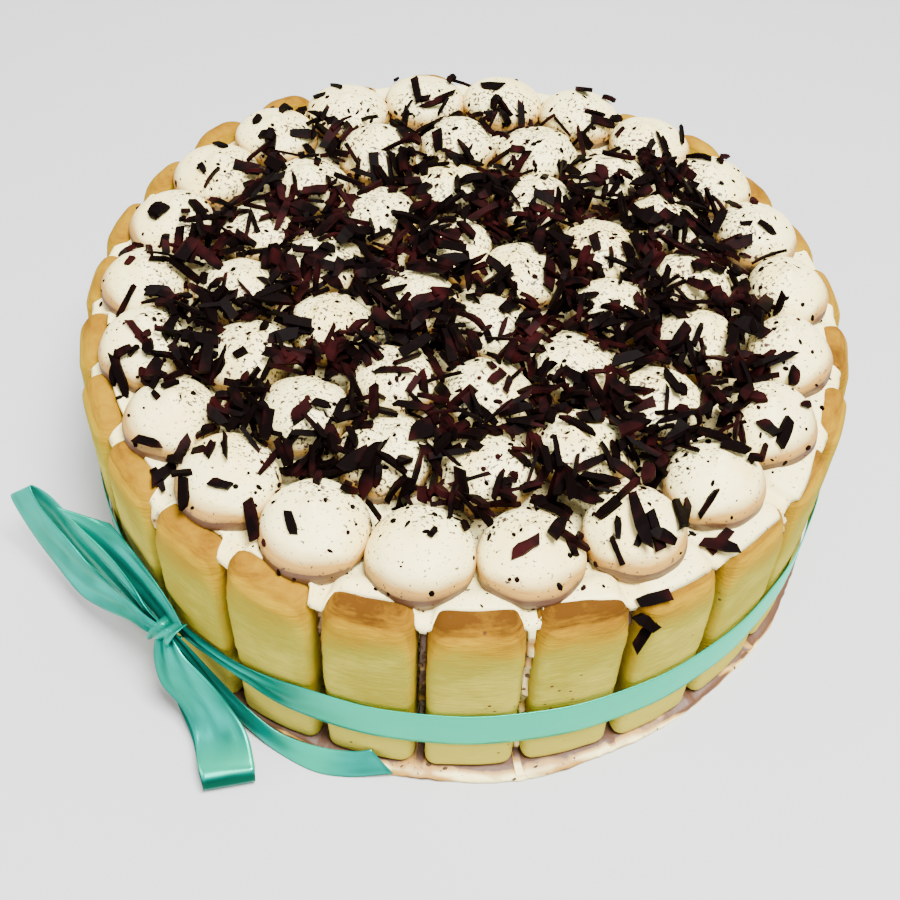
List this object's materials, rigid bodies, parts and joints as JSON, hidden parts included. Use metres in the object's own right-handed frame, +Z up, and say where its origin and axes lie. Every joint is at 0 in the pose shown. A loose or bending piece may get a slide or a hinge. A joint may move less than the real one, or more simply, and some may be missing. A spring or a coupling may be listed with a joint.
{
  "type": "tiramisu cake",
  "caption": "Whole round tiramisu cake: upright sponge fingers round a cream body, piped cream dollops, dark chocolate shavings and a satin ribbon with a bow.",
  "frame": {"origin": "centre of the cake's flat base, on the surface it stands on", "axes": "+Z up through the middle of the cake; the ribbon's bow is towards -X and -Y, and the side that the picture shows faces -Y"},
  "size_m": [0.2655, 0.2625, 0.0865],
  "materials": {
    "cream": "soft satin cream",
    "sponge": "dry baked sponge",
    "chocolate": "dark chocolate, slight sheen",
    "satin": "satin ribbon"
  },
  "bodies": {
    "root": {"cake_body": "cream", "finger_01": "sponge", "finger_02": "sponge", "finger_03": "sponge", "finger_04": "sponge", "finger_05": "sponge", "finger_06": "sponge", "finger_07": "sponge", "finger_08": "sponge", "finger_09": "sponge", "finger_10": "sponge", "finger_11": "sponge", "finger_12": "sponge", "finger_13": "sponge", "finger_14": "sponge", "finger_15": "sponge", "finger_16": "sponge", "finger_17": "sponge", "finger_18": "sponge", "finger_19": "sponge", "finger_20": "sponge", "finger_21": "sponge", "finger_22": "sponge", "finger_23": "sponge", "finger_24": "sponge", "finger_25": "sponge", "finger_26": "sponge", "finger_27": "sponge", "dollop_01": "cream", "dollop_02": "cream", "dollop_03": "cream", "dollop_04": "cream", "dollop_05": "cream", "dollop_06": "cream", "dollop_07": "cream", "dollop_08": "cream", "dollop_09": "cream", "dollop_10": "cream", "dollop_11": "cream", "dollop_12": "cream", "dollop_13": "cream", "dollop_14": "cream", "dollop_15": "cream", "dollop_16": "cream", "dollop_17": "cream", "dollop_18": "cream", "dollop_19": "cream", "dollop_20": "cream", "dollop_21": "cream", "dollop_22": "cream", "topping_heap": "chocolate", "ribbon_band": "satin", "ribbon_knot": "satin", "ribbon_loop_left": "satin", "ribbon_loop_right": "satin", "ribbon_tail_left": "satin", "ribbon_tail_right": "satin"}
  },
  "joints": []
}
